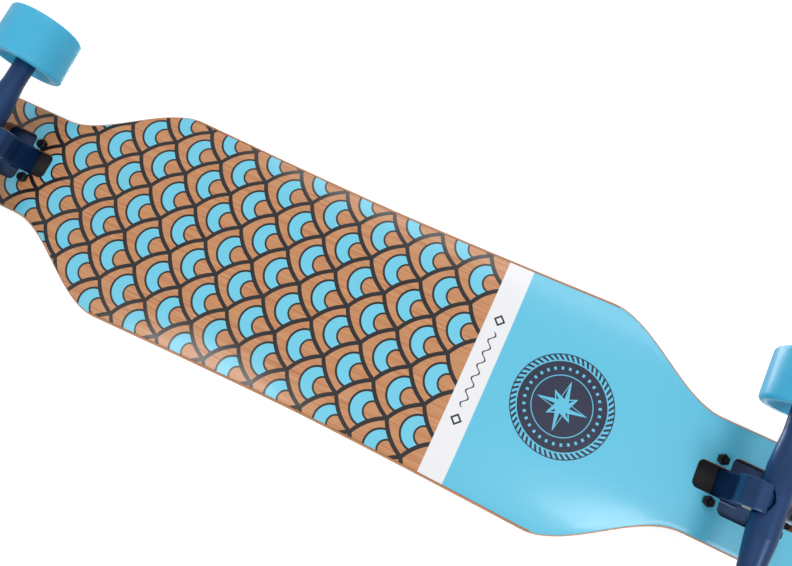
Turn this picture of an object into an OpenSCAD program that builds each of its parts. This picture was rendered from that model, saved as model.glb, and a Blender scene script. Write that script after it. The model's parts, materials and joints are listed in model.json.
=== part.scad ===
// Drop-through longboard: a symmetrical deck with two reverse-kingpin trucks and four wheels.
// Millimetres. The ground is z = 0, X runs along the deck, Y across it and Z points up.

/* [Deck] */
// Overall length of the deck
deck_length = 1040; // [1000:1:1080]
// Width of the deck at its waist
waist_width = 231; // [220:1:236]
// Width of the deck at its widest point
max_width = 240.4; // [236:0.2:250]
// Width of the neck between the wheels
neck_width = 116; // [110:1:120]
// Thickness of the plywood
deck_thickness = 11; // [9:0.5:13]
// Half width of the flat middle of the concave
flat_half = 42; // [36:1:46]
// Rise of the concave for each square millimetre beyond the flat middle
concave = 0.0014; // [0.0005:0.0001:0.0016]

/* [Trucks] */
// Distance between the two axles
wheelbase = 818; // [810:1:826]
// Height of the deck's underside above the ground
underside_z = 81; // [81:0.5:84]
// Length of the hanger
hanger_length = 180; // [178:1:182]
// Bolt spacing across the deck
bolt_pitch_y = 41.3; // [41:0.1:42]
// Bolt spacing along the deck
bolt_pitch_x = 63.5; // [63:0.1:64]

/* [Wheels] */
// Diameter of the wheels
wheel_diameter = 70; // [68:1:70]
// Width of the wheels
wheel_width = 51; // [48:1:52]

/* [Hidden] */
$fn = 64;

// Hanger, kingpin and pivot, in the truck's own XZ plane with the axle above x = 0
axle_z = wheel_diameter / 2;
axle_x = wheelbase / 2;
axle_r = 4;
axle_half = 124;
steer_angle = 45;                 // slope of the steering axis, rising outwards
rake = 9;                         // distance from the axle to the steering axis
dir_a = [cos(steer_angle), sin(steer_angle)];   // along the steering axis
dir_k = [sin(steer_angle), -cos(steer_angle)];  // along the kingpin, towards its nut
ring_s = 24;                      // ring centre along the steering axis, from the foot
mouth_s = -8.5;                   // mouth of the pivot cup along the steering axis
foot = [-rake * dir_k[0], axle_z - rake * dir_k[1]];
ring = foot + ring_s * dir_a;
tube_mid_r = 12.4;
tube_end_r = 9.6;
tube_mid_half = 30;
tube_taper_half = 62;
ring_r = 17;
ring_hole_r = 7.5;
ring_half = 5;
nose_r = 6.5;
fit = 0.05;
nose_depth = 7;
cup_wall = 2;
cup_floor = 1.5;
cup_lip = 1.2;
boss_r = 12.5;
boss_gap = 0.7;

// Kingpin stack, as distances from the ring centre along the kingpin
kingpin_r = 4.75;
kingpin_end = 30;
seat_k = 19;
washer_t = 1.5;
bushing_r = 12.5;
cone_r = 9.5;
washer_r = 11.5;
head_start = 22;
head_t = 5;
head_af = 14;
nut_t = 7;
nut_af = 14.3;

// Baseplate, riser pad and mounting bolts
pad_t = 3;
flange_t = 8;
pad_z = underside_z + deck_thickness;
flange_z = pad_z + pad_t;
flange_top = flange_z + flange_t;
flange_x = 5.75;                  // middle of the bolt pattern, outwards of the axle
flange_len = 88;
flange_w = 56;
flange_corner = 9;
housing_half = 13;
pad_len = 112;
pad_w = 60;
bolt_r = 2.4;
bolt_hole_r = 2.75;
bolt_head_r = 4.7;
bolt_head_t = 3;
bolt_nut_af = 9.6;
bolt_nut_t = 5.5;
bolt_tail = 7.5;

// Cut-out in the deck, measured outwards of the axle
slot_half = 14;
slot_in = -45;
slot_out = 56.5;
bay_half = 28;
bay_in = -16;
bay_out = 27.5;
slot_corner = 6;

// Wheel stack along the axle
washer_in = hanger_length / 2;
bearing_w = 7;
bearing_in = washer_in + 1;
spacer_in = bearing_in + bearing_w;
spacer_w = 10;
bearing_out = spacer_in + spacer_w;
washer_out = bearing_out + bearing_w;
axle_nut_in = washer_out + 1;
axle_nut_t = 6.5;
axle_nut_af = 13;
wheel_in = 81;
wheel_out = wheel_in + wheel_width;
core_r = 17.5;
core_in = bearing_in - 0.5;
core_out = washer_out + 0.5;
race_bore_r = axle_r;
race_in_r = 5.9;
race_out_r = 9.1;
bearing_r = 11;
ball_r = 1.984;
ball_pitch_r = 7.5;
ball_count = 7;
groove_r = 2.04;
shield_t = 0.4;
lip_r = 4;
recess_r = 26.5;

// Outline of the deck
shoulder_in = 242;
shoulder_out = 372;
end_len = 55;
grip_t = 0.9;
grip_inset = 3;
outline_step = 11;

// ---- Helpers ----

// Point in the truck's side view, s up the steering axis from the foot and k off it
function at(s, k) = foot + s * dir_a + k * dir_k;

function smooth(t) = t <= 0 ? 0 : t >= 1 ? 1 : t * t * (3 - 2 * t);

function arc(cx, cy, r, from, to, steps = 8) =
    [for (i = [0 : steps]) let (a = from + (to - from) * i / steps) [cx + r * cos(a), cy + r * sin(a)]];

// Half width of the deck at a distance x from its middle
function half_width(x) =
    let (waist = waist_width / 2, wide = max_width / 2, neck = neck_width / 2,
         body = waist + (wide - waist) * pow(min(x, shoulder_in) / shoulder_in, 1.5),
         shoulder = body - (wide - neck) * smooth((x - shoulder_in) / (shoulder_out - shoulder_in)),
         tip = max(0, x - (deck_length / 2 - end_len)) / end_len)
    shoulder * sqrt(max(0, 1 - tip * tip));

// Distances from the middle at which the outline has a point, to the end of the deck
function outline_stations() =
    concat([for (x = [0 : outline_step : deck_length / 2 - end_len - 1]) x],
           [for (a = [0 : 9 : 90]) deck_length / 2 - end_len + end_len * sin(a)]);

module deck_outline(inset) {
    xs = outline_stations();
    last = len(xs) - 1;
    quarter = [for (x = xs) [x * (deck_length / 2 - inset) / (deck_length / 2),
                             max(0, half_width(x) - inset)]];
    polygon(concat(
        quarter,
        [for (i = [last - 1 : -1 : 0]) [quarter[i][0], -quarter[i][1]]],
        [for (i = [1 : last]) [-quarter[i][0], -quarter[i][1]]],
        [for (i = [last - 1 : -1 : 1]) [-quarter[i][0], quarter[i][1]]]));
}

function rise(y) = concave * pow(max(0, abs(y) - flat_half), 2);

// Layer of the deck between two heights above its underside, following the concave
module deck_layer(low, high, inset) {
    reach = max_width / 2 + 5;
    steps = 7;
    side = [for (i = [0 : steps]) flat_half + (reach - flat_half) * i / steps];
    across = concat([for (i = [steps : -1 : 0]) -side[i]], side);
    count = len(across);
    intersection() {
        rotate([90, 0, 90])
            linear_extrude(deck_length, center = true)
                polygon(concat(
                    [for (y = across) [y, underside_z + low + rise(y)]],
                    [for (i = [count - 1 : -1 : 0])
                        [across[i], underside_z + high + rise(across[i])]]));
        linear_extrude(underside_z + 100) deck_outline(inset);
    }
}

module rounded_rect(length, width, corner) {
    x = length / 2 - corner;
    y = width / 2 - corner;
    polygon(concat(arc(x, y, corner, 0, 90), arc(-x, y, corner, 90, 180),
                   arc(-x, -y, corner, 180, 270), arc(x, -y, corner, 270, 360)));
}

// Puts a truck's parts at the front (1) or rear (-1) end of the deck
module at_truck(end) {
    rotate([0, 0, end > 0 ? 0 : 180]) translate([axle_x, 0, 0]) children();
}

// Puts a wheel's parts, drawn along +Z, on the left (1) or right (-1) side
module at_wheel(end, side) {
    at_truck(end)
        mirror([0, end * side > 0 ? 0 : 1, 0])
            translate([0, 0, axle_z]) rotate([-90, 0, 0]) children();
}

module at_both_wheels(end) {
    at_wheel(end, 1) children();
    at_wheel(end, -1) children();
}

// +Z runs along the kingpin from the ring centre towards the nut
module along_kingpin() {
    translate([ring[0], 0, ring[1]]) rotate([0, 90 + steer_angle, 0]) children();
}

// +Z runs up the steering axis from the foot, and +X off it towards the axle
module along_axis() {
    translate([foot[0], 0, foot[1]]) rotate([0, 90 - steer_angle, 0]) children();
}

// A slab of the truck's side profile, centred across the deck
module side_slab(points, half) {
    rotate([90, 0, 0]) linear_extrude(2 * half, center = true) polygon(points);
}

module tube(outer, inner, low, high) {
    translate([0, 0, low])
        difference() {
            cylinder(r = outer, h = high - low);
            translate([0, 0, -1]) cylinder(r = inner, h = high - low + 2);
        }
}

module hex(across_flats, height) {
    cylinder(r = across_flats / 2 / cos(30), h = height, $fn = 6);
}

module at_bolts() {
    for (sx = [-1, 1], sy = [-1, 1])
        translate([flange_x + sx * bolt_pitch_x / 2, sy * bolt_pitch_y / 2, 0]) children();
}

// ---- Deck ----

module truck_slot() {
    slot_mid = (slot_in + slot_out) / 2;
    bay_mid = (bay_in + bay_out) / 2;
    translate([slot_mid, 0]) rounded_rect(slot_out - slot_in, 2 * slot_half, slot_corner);
    translate([bay_mid, 0]) rounded_rect(bay_out - bay_in, 2 * bay_half, slot_corner);
}

module deck() {
    color("peru")
        difference() {
            deck_layer(0, deck_thickness, 0);
            for (end = [-1, 1])
                at_truck(end) {
                    translate([0, 0, underside_z - 1])
                        linear_extrude(deck_thickness + 20) truck_slot();
                    translate([0, 0, underside_z - 1])
                        at_bolts() cylinder(r = bolt_hole_r, h = deck_thickness + 20);
                }
        }
}

module grip_tape() {
    window = 1.5;
    color([0.12, 0.12, 0.13])
        difference() {
            deck_layer(deck_thickness, deck_thickness + grip_t, grip_inset);
            for (end = [-1, 1])
                at_truck(end)
                    translate([flange_x, 0, pad_z - 1])
                        linear_extrude(20)
                            rounded_rect(pad_len + 2 * window, pad_w + 2 * window, slot_corner);
        }
}

// ---- Truck: fixed side ----

module baseplate(end) {
    seat_reach = bushing_r + 0.7;
    profile = [
        [-20, flange_z + 1], [-18.5, flange_z - 9], [-17.6, 66], [-27.3, 42], [-27.3, 32],
        [-20.5, 21.5], [-13, 20.8], at(mouth_s, boss_r), at(mouth_s, -9.5), at(1, -10.8),
        at(9, -14.5), at(ring_s - seat_reach, -seat_k), at(ring_s + seat_reach, -seat_k),
        [at(ring_s + seat_reach, -seat_k)[0], flange_z + 1]
    ];
    head_pocket_r = 8.3;
    color([0.1, 0.2, 0.48])
        at_truck(end)
            difference() {
                union() {
                    translate([flange_x, 0, flange_z])
                        linear_extrude(flange_t) rounded_rect(flange_len, flange_w, flange_corner);
                    side_slab(profile, housing_half);
                }
                // The pivot housing ends in a round boss
                along_axis()
                    intersection() {
                        tube(40, boss_r, mouth_s - 5.5, mouth_s + 3);
                        translate([-9, -50, -50]) cube(100);
                    }
                // Pocket for the kingpin's head, open at the top
                along_kingpin()
                    translate([0, 0, -head_start - head_t - 1]) cylinder(r = head_pocket_r, h = head_t + 1);
                translate([-14, -head_pocket_r, flange_z - 17])
                    cube([11, 2 * head_pocket_r, 17 + flange_t + 1]);
                // Bore for the kingpin
                along_kingpin() translate([0, 0, -seat_k - 10]) cylinder(r = kingpin_r, h = 20);
                // Seat of the pivot cup
                along_axis()
                    translate([0, 0, mouth_s - nose_depth - fit - cup_floor])
                        cylinder(r = nose_r + fit + cup_wall, h = nose_depth + fit + cup_floor + 3);
                translate([0, 0, flange_z - 1]) at_bolts() cylinder(r = bolt_hole_r, h = flange_t + 2);
            }
}

module riser_pad(end) {
    window_margin = 0.5;
    window_in = -20.5;
    color([0.3, 0.28, 0.3])
        at_truck(end)
            difference() {
                translate([flange_x, 0, pad_z]) linear_extrude(pad_t)
                    rounded_rect(pad_len, pad_w, slot_corner);
                translate([window_in, window_margin - bay_half, pad_z - 1])
                    cube([bay_out - window_in, 2 * (bay_half - window_margin), pad_t + 2]);
                translate([0, 0, pad_z - 1]) at_bolts() cylinder(r = bolt_hole_r, h = pad_t + 2);
            }
}

module pivot_cup(end) {
    cup_r = nose_r + fit + cup_wall;
    inside = mouth_s - nose_depth - fit;
    color([0.05, 0.05, 0.05])
        at_truck(end)
            along_axis()
                difference() {
                    union() {
                        translate([0, 0, inside - cup_floor])
                            cylinder(r = cup_r, h = mouth_s - inside + cup_floor);
                        translate([0, 0, mouth_s]) cylinder(r = boss_r - 1, h = cup_lip);
                    }
                    translate([0, 0, inside]) cylinder(r = nose_r + fit, h = nose_depth + 5);
                }
}

module kingpin(end) {
    color("dimgray")
        at_truck(end)
            along_kingpin() {
                translate([0, 0, -head_start]) cylinder(r = kingpin_r, h = head_start + kingpin_end);
                translate([0, 0, -head_start - head_t]) hex(head_af, head_t);
            }
}

module kingpin_nut(end) {
    color([0.08, 0.08, 0.08])
        at_truck(end)
            along_kingpin()
                translate([0, 0, seat_k + washer_t])
                    difference() {
                        hex(nut_af, nut_t);
                        translate([0, 0, -1]) cylinder(r = kingpin_r, h = nut_t + 2);
                    }
}

module kingpin_washers(end) {
    color("silver")
        at_truck(end)
            along_kingpin() {
                tube(washer_r, kingpin_r, -seat_k, -seat_k + washer_t);
                tube(washer_r - 1, kingpin_r, seat_k, seat_k + washer_t);
            }
}

module boardside_bushing(end) {
    color([0.85, 0.85, 0.8])
        at_truck(end) along_kingpin() tube(bushing_r, kingpin_r, -seat_k + washer_t, -ring_half - fit);
}

module roadside_bushing(end) {
    color([0.85, 0.85, 0.8])
        at_truck(end)
            along_kingpin()
                difference() {
                    translate([0, 0, ring_half + fit])
                        cylinder(r1 = bushing_r, r2 = cone_r, h = seat_k - ring_half - fit);
                    cylinder(r = kingpin_r, h = seat_k + 1);
                }
}

module mounting_bolts(end) {
    color([0.08, 0.08, 0.08])
        at_truck(end)
            at_bolts() {
                translate([0, 0, underside_z - bolt_tail])
                    cylinder(r = bolt_r, h = flange_top - underside_z + bolt_tail);
                difference() {
                    translate([0, 0, flange_top]) cylinder(r = bolt_head_r, h = bolt_head_t);
                    translate([0, 0, flange_top + 1]) hex(3, bolt_head_t);
                }
            }
}

module mounting_nuts(end) {
    color([0.06, 0.06, 0.06])
        at_truck(end)
            at_bolts()
                translate([0, 0, underside_z - bolt_nut_t])
                    difference() {
                        hex(bolt_nut_af, bolt_nut_t);
                        translate([0, 0, -1]) cylinder(r = bolt_r, h = bolt_nut_t + 2);
                    }
}

// ---- Truck: steering side ----

module hanger(end) {
    web_half = 8;
    clearance = 0.7;
    notch_s = mouth_s + cup_lip + 0.6;
    web = [
        at(-5, -4), at(ring_s - 9.5, 1 - ring_half), at(ring_s - 9.5, ring_half - 1),
        [11.5, 39], [8, axle_z - 8], [-2, axle_z - 10], at(-5, 4)
    ];
    gusset_tilt = atan2(ring[0], ring[1] - axle_z);
    color([0.1, 0.2, 0.48])
        at_truck(end)
            difference() {
                union() {
                    difference() {
                        union() {
                            hanger_tube();
                            side_slab(web, web_half);
                            along_kingpin()
                                translate([0, 0, -ring_half]) cylinder(r = ring_r, h = 2 * ring_half);
                            // Gusset that spreads the ring's load along the tube
                            translate([0, 0, axle_z]) rotate([90, 0, 90]) rotate([gusset_tilt, 0, 0])
                                linear_extrude(8, center = true)
                                    polygon([[-40, 4], [40, 4], [15, 18], [-15, 18]]);
                        }
                        // Scallop that clears the pivot housing's boss
                        along_axis()
                            translate([0, 0, notch_s - 20]) cylinder(r = boss_r + boss_gap, h = 20);
                    }
                    along_axis()
                        translate([0, 0, mouth_s - nose_depth]) cylinder(r = nose_r, h = nose_depth + 12);
                }
                along_kingpin() {
                    translate([0, 0, -20]) cylinder(r = ring_hole_r, h = 40);
                    // Room for the two bushings
                    translate([0, 0, ring_half]) cylinder(r = bushing_r + clearance, h = 30);
                    translate([0, 0, -ring_half - 20]) cylinder(r = bushing_r + clearance, h = 20);
                }
                translate([0, 0, axle_z]) rotate([-90, 0, 0])
                    translate([0, 0, -washer_in - 1]) cylinder(r = axle_r, h = hanger_length + 2);
            }
}

module hanger_tube() {
    translate([0, 0, axle_z]) rotate([-90, 0, 0])
        rotate_extrude()
            polygon([[0, -washer_in], [tube_end_r, -washer_in],
                     [tube_end_r, -tube_taper_half], [tube_mid_r, -tube_mid_half],
                     [tube_mid_r, tube_mid_half], [tube_end_r, tube_taper_half],
                     [tube_end_r, washer_in], [0, washer_in]]);
}

module axle(end) {
    color("silver")
        at_truck(end)
            translate([0, 0, axle_z]) rotate([-90, 0, 0])
                translate([0, 0, -axle_half]) cylinder(r = axle_r, h = 2 * axle_half);
}

module inner_race(low) {
    difference() {
        tube(race_in_r, race_bore_r, low, low + bearing_w);
        translate([0, 0, low + bearing_w / 2])
            rotate_extrude() translate([ball_pitch_r, 0]) circle(r = groove_r);
    }
}

module bearing_inner_races(end) {
    color("silver")
        at_both_wheels(end) {
            inner_race(bearing_in);
            inner_race(bearing_out);
        }
}

module bearing_spacers(end) {
    color("silver") at_both_wheels(end) tube(race_in_r - 0.4, race_bore_r, spacer_in, bearing_out);
}

module speed_washers(end) {
    color("silver")
        at_both_wheels(end) {
            tube(race_in_r - 0.2, race_bore_r, washer_in, bearing_in);
            tube(race_in_r - 0.2, race_bore_r, washer_out, axle_nut_in);
        }
}

module axle_nuts(end) {
    color([0.08, 0.08, 0.08])
        at_both_wheels(end)
            translate([0, 0, axle_nut_in])
                difference() {
                    hex(axle_nut_af, axle_nut_t);
                    translate([0, 0, -1]) cylinder(r = axle_r, h = axle_nut_t + 2);
                }
}

// ---- Wheels ----

module tyre(end, side) {
    rim = wheel_diameter / 2;
    section = concat(
        [[core_r, core_in], [core_r + 1.5, core_in]],
        [[recess_r, wheel_in + 1.2]],
        arc(rim - lip_r - 2, wheel_in + lip_r, lip_r, 250, 270, 2),
        arc(rim - lip_r, wheel_in + lip_r, lip_r, 270, 360),
        arc(rim - lip_r, wheel_out - lip_r, lip_r, 0, 90),
        arc(rim - lip_r - 2, wheel_out - lip_r, lip_r, 90, 110, 2),
        [[recess_r, wheel_out - 1.2]],
        [[core_r + 1.5, core_out], [core_r, core_out]]);
    color([0.5, 0.75, 0.92]) at_wheel(end, side) rotate_extrude($fn = 96) polygon(section);
}

module core(end, side) {
    color([0.9, 0.92, 0.95])
        at_wheel(end, side)
            rotate_extrude()
                polygon([[bearing_r, core_in], [core_r, core_in], [core_r, core_out],
                         [bearing_r, core_out], [bearing_r, bearing_out],
                         [race_out_r + 0.4, bearing_out], [race_out_r + 0.4, spacer_in],
                         [bearing_r, spacer_in]]);
}

module outer_race(low) {
    difference() {
        tube(bearing_r, race_out_r, low, low + bearing_w);
        translate([0, 0, low + bearing_w / 2])
            rotate_extrude() translate([ball_pitch_r, 0]) circle(r = groove_r);
    }
}

module outer_races(end, side) {
    color("silver")
        at_wheel(end, side) {
            outer_race(bearing_in);
            outer_race(bearing_out);
        }
}

module shields(end, side) {
    color([0.15, 0.15, 0.16])
        at_wheel(end, side)
            for (low = [bearing_in, bearing_out], face = [0.1, bearing_w - shield_t - 0.1])
                tube(race_out_r, race_in_r + fit, low + face, low + face + shield_t);
}

module balls(end, side) {
    color("gainsboro")
        at_wheel(end, side)
            for (low = [bearing_in, bearing_out], i = [0 : ball_count - 1])
                rotate([0, 0, i * 360 / ball_count])
                    translate([ball_pitch_r, 0, low + bearing_w / 2]) sphere(r = ball_r);
}

module cages(end, side) {
    color("goldenrod")
        at_wheel(end, side)
            for (low = [bearing_in, bearing_out])
                difference() {
                    tube(ball_pitch_r + 0.7, ball_pitch_r - 0.7, low + 1.6, low + bearing_w - 1.6);
                    for (i = [0 : ball_count - 1])
                        rotate([0, 0, i * 360 / ball_count])
                            translate([ball_pitch_r, 0, low + bearing_w / 2]) sphere(r = ball_r);
                }
}

// ---- Nodes ----

deck();
grip_tape();

baseplate(1);  // front_baseplate
riser_pad(1);  // front_riser_pad
pivot_cup(1);  // front_pivot_cup
kingpin(1);  // front_kingpin
kingpin_nut(1);  // front_kingpin_nut
kingpin_washers(1);  // front_kingpin_washers
boardside_bushing(1);  // front_boardside_bushing
roadside_bushing(1);  // front_roadside_bushing
mounting_bolts(1);  // front_mounting_bolts
mounting_nuts(1);  // front_mounting_nuts
hanger(1);  // front_hanger
axle(1);  // front_axle
bearing_inner_races(1);  // front_bearing_inner_races
bearing_spacers(1);  // front_bearing_spacers
speed_washers(1);  // front_speed_washers
axle_nuts(1);  // front_axle_nuts
baseplate(-1);  // rear_baseplate
riser_pad(-1);  // rear_riser_pad
pivot_cup(-1);  // rear_pivot_cup
kingpin(-1);  // rear_kingpin
kingpin_nut(-1);  // rear_kingpin_nut
kingpin_washers(-1);  // rear_kingpin_washers
boardside_bushing(-1);  // rear_boardside_bushing
roadside_bushing(-1);  // rear_roadside_bushing
mounting_bolts(-1);  // rear_mounting_bolts
mounting_nuts(-1);  // rear_mounting_nuts
hanger(-1);  // rear_hanger
axle(-1);  // rear_axle
bearing_inner_races(-1);  // rear_bearing_inner_races
bearing_spacers(-1);  // rear_bearing_spacers
speed_washers(-1);  // rear_speed_washers
axle_nuts(-1);  // rear_axle_nuts
tyre(1, 1);  // front_left_tyre
core(1, 1);  // front_left_core
outer_races(1, 1);  // front_left_outer_races
shields(1, 1);  // front_left_shields
balls(1, 1);  // front_left_balls
cages(1, 1);  // front_left_cages
tyre(1, -1);  // front_right_tyre
core(1, -1);  // front_right_core
outer_races(1, -1);  // front_right_outer_races
shields(1, -1);  // front_right_shields
balls(1, -1);  // front_right_balls
cages(1, -1);  // front_right_cages
tyre(-1, 1);  // rear_left_tyre
core(-1, 1);  // rear_left_core
outer_races(-1, 1);  // rear_left_outer_races
shields(-1, 1);  // rear_left_shields
balls(-1, 1);  // rear_left_balls
cages(-1, 1);  // rear_left_cages
tyre(-1, -1);  // rear_right_tyre
core(-1, -1);  // rear_right_core
outer_races(-1, -1);  // rear_right_outer_races
shields(-1, -1);  // rear_right_shields
balls(-1, -1);  // rear_right_balls
cages(-1, -1);  // rear_right_cages
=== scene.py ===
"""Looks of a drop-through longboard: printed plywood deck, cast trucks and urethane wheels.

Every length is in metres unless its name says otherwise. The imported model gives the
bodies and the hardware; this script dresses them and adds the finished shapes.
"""

from __future__ import annotations

import json
import logging
import math
from dataclasses import dataclass, field
from enum import Enum
from typing import Iterable, Sequence

import bmesh
import bpy
from mathutils import Matrix, Vector

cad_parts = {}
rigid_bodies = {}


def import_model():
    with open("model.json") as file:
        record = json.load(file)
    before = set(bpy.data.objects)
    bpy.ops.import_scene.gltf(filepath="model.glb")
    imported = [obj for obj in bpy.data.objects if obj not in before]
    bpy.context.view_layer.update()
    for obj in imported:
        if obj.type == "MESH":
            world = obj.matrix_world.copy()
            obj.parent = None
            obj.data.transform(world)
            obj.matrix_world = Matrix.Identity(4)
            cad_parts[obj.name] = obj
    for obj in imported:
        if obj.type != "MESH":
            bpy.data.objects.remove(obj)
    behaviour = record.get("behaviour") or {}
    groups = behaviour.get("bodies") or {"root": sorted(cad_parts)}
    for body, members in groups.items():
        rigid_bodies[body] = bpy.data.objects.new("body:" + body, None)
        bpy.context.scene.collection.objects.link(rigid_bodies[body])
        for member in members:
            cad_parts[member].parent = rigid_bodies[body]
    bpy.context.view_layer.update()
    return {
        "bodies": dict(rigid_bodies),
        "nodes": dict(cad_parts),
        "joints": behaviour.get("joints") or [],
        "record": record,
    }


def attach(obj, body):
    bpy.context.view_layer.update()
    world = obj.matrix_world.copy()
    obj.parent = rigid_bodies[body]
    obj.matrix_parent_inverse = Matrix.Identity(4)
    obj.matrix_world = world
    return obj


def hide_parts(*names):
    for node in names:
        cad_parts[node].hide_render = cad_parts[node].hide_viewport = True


log = logging.getLogger("longboard")

Color = tuple[float, float, float]


def srgb(red: int, green: int, blue: int) -> Color:
    """Turns a display colour, 0 to 255, into the linear colour that a shader takes."""
    return tuple(
        c / 12.92 if c <= 0.04045 else ((c + 0.055) / 1.055) ** 2.4
        for c in (red / 255, green / 255, blue / 255)
    )


# ---------------------------------------------------------------------------
# Node trees
# ---------------------------------------------------------------------------


class Graph:
    """Places shader nodes in one tree and joins them."""

    def __init__(self, tree: bpy.types.NodeTree) -> None:
        """Keeps the tree that the nodes go in."""
        self.tree = tree

    def add(self, kind: str, **values: object) -> bpy.types.Node:
        """Adds a node.

        Args:
            kind: the node's type name, without the ShaderNode prefix.
            values: attributes of the node.

        Returns:
            The new node.
        """
        node = self.tree.nodes.new("ShaderNode" + kind)
        for name, value in values.items():
            setattr(node, name, value)
        return node

    def feed(self, socket: bpy.types.NodeSocket, value: object) -> None:
        """Joins a socket to another one, or sets its value."""
        if isinstance(value, bpy.types.NodeSocket):
            self.tree.links.new(value, socket)
        elif isinstance(value, tuple) and socket.type == "RGBA":
            socket.default_value = (*value[:3], 1.0)
        else:
            socket.default_value = value

    def math(self, operation: str, *terms: object) -> bpy.types.NodeSocket:
        """Adds a Math node and returns its result."""
        node = self.add("Math", operation=operation)
        for socket, term in zip(node.inputs, terms):
            self.feed(socket, term)
        return node.outputs[0]

    def below(self, value: object, edge: float, soft: float) -> bpy.types.NodeSocket:
        """Gives 1 where value is under edge and 0 above it, with a soft step between."""
        node = self.add("MapRange")
        self.feed(node.inputs["Value"], value)
        node.inputs["From Min"].default_value = edge - soft
        node.inputs["From Max"].default_value = edge + soft
        node.inputs["To Min"].default_value = 1.0
        node.inputs["To Max"].default_value = 0.0
        return node.outputs["Result"]

    def remap(self, value: object, low: float, high: float) -> bpy.types.NodeSocket:
        """Spreads a value of 0 to 1 between low and high."""
        node = self.add("MapRange")
        self.feed(node.inputs["Value"], value)
        node.inputs["To Min"].default_value = low
        node.inputs["To Max"].default_value = high
        return node.outputs["Result"]

    def blend(self, factor: object, first: object, second: object) -> bpy.types.NodeSocket:
        """Mixes two colours by a factor."""
        node = self.add("Mix", data_type="RGBA")
        self.feed(node.inputs[0], factor)
        self.feed(node.inputs[6], first)
        self.feed(node.inputs[7], second)
        return node.outputs[2]

    def noise(
        self, vector: object, scale: float, detail: float = 3.0, roughness: float = 0.5
    ) -> bpy.types.NodeSocket:
        """Adds a noise texture and returns its value."""
        node = self.add("TexNoise")
        self.feed(node.inputs["Vector"], vector)
        node.inputs["Scale"].default_value = scale
        node.inputs["Detail"].default_value = detail
        node.inputs["Roughness"].default_value = roughness
        return node.outputs[0]

    def stretch(self, vector: object, scale: Sequence[float]) -> bpy.types.NodeSocket:
        """Scales a position along each axis."""
        node = self.add("Mapping")
        self.feed(node.inputs["Vector"], vector)
        node.inputs["Scale"].default_value = scale
        return node.outputs[0]

    def place(self) -> bpy.types.NodeSocket:
        """Gives the Object coordinates."""
        return self.add("TexCoord").outputs["Object"]

    def split(self, vector: object) -> tuple[bpy.types.NodeSocket, ...]:
        """Gives a vector's three numbers."""
        node = self.add("SeparateXYZ")
        self.feed(node.inputs[0], vector)
        return tuple(node.outputs)

    def bump(self, height: object, distance: float, strength: float = 1.0) -> bpy.types.NodeSocket:
        """Turns a height into a normal."""
        node = self.add("Bump")
        self.feed(node.inputs["Height"], height)
        node.inputs["Distance"].default_value = distance
        node.inputs["Strength"].default_value = strength
        return node.outputs[0]

    def use(self, group: bpy.types.NodeTree, **inputs: object) -> bpy.types.Node:
        """Places a shared node group and sets its inputs."""
        node = self.add("Group", node_tree=group)
        for name, value in inputs.items():
            self.feed(node.inputs[name.replace("_", " ")], value)
        return node


def new_group(
    name: str, inputs: dict[str, str], outputs: Iterable[str]
) -> tuple[bpy.types.NodeTree, Graph, bpy.types.Node, bpy.types.Node]:
    """Starts a shader node group.

    Args:
        name: the group's name.
        inputs: each input's name and whether it is a Vector or a Float.
        outputs: names of the outputs, all of them numbers.

    Returns:
        The group, its graph, its input node and its output node.
    """
    tree = bpy.data.node_groups.new(name, "ShaderNodeTree")
    for label, kind in inputs.items():
        tree.interface.new_socket(name=label, in_out="INPUT", socket_type="NodeSocket" + kind)
    for label in outputs:
        tree.interface.new_socket(name=label, in_out="OUTPUT", socket_type="NodeSocketFloat")
    start = tree.nodes.new("NodeGroupInput")
    end = tree.nodes.new("NodeGroupOutput")
    return tree, Graph(tree), start, end


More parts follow.
